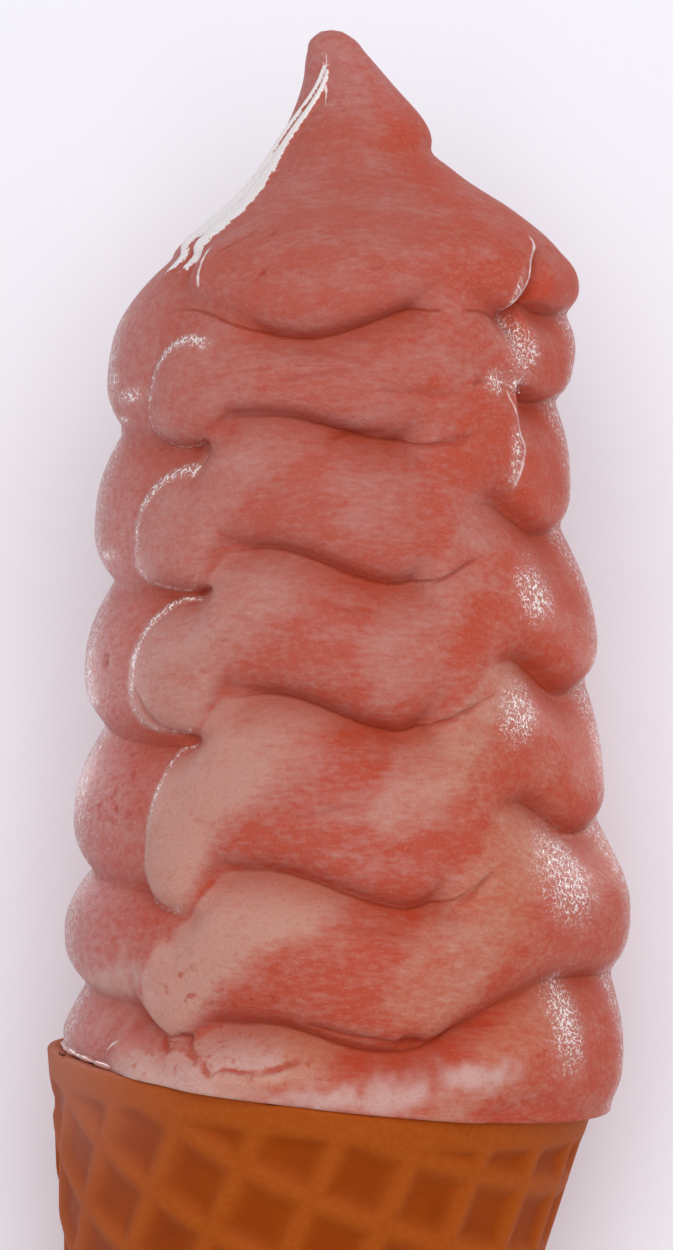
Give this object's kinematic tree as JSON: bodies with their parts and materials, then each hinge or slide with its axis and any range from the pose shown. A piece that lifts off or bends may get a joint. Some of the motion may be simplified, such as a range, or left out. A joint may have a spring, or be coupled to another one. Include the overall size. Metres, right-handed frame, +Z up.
{
  "type": "soft serve cone",
  "caption": "Tall pink soft serve, coiled in folded turns to a drawn peak, in a pointed rolled sugar cone, lying on its back.",
  "frame": {"origin": "middle of the bottom of the box round the whole treat, on the surface it lies on", "axes": "+Y from the cone's tip to the swirl's peak, +Z up out of the front that shows, +X to the right of that front"},
  "size_m": [0.0612, 0.239, 0.0653],
  "materials": {
    "soft_serve": "satin",
    "sugar_wafer": "matte"
  },
  "bodies": {
    "root": {"soft_serve": "soft_serve", "cone": "sugar_wafer"}
  },
  "joints": []
}
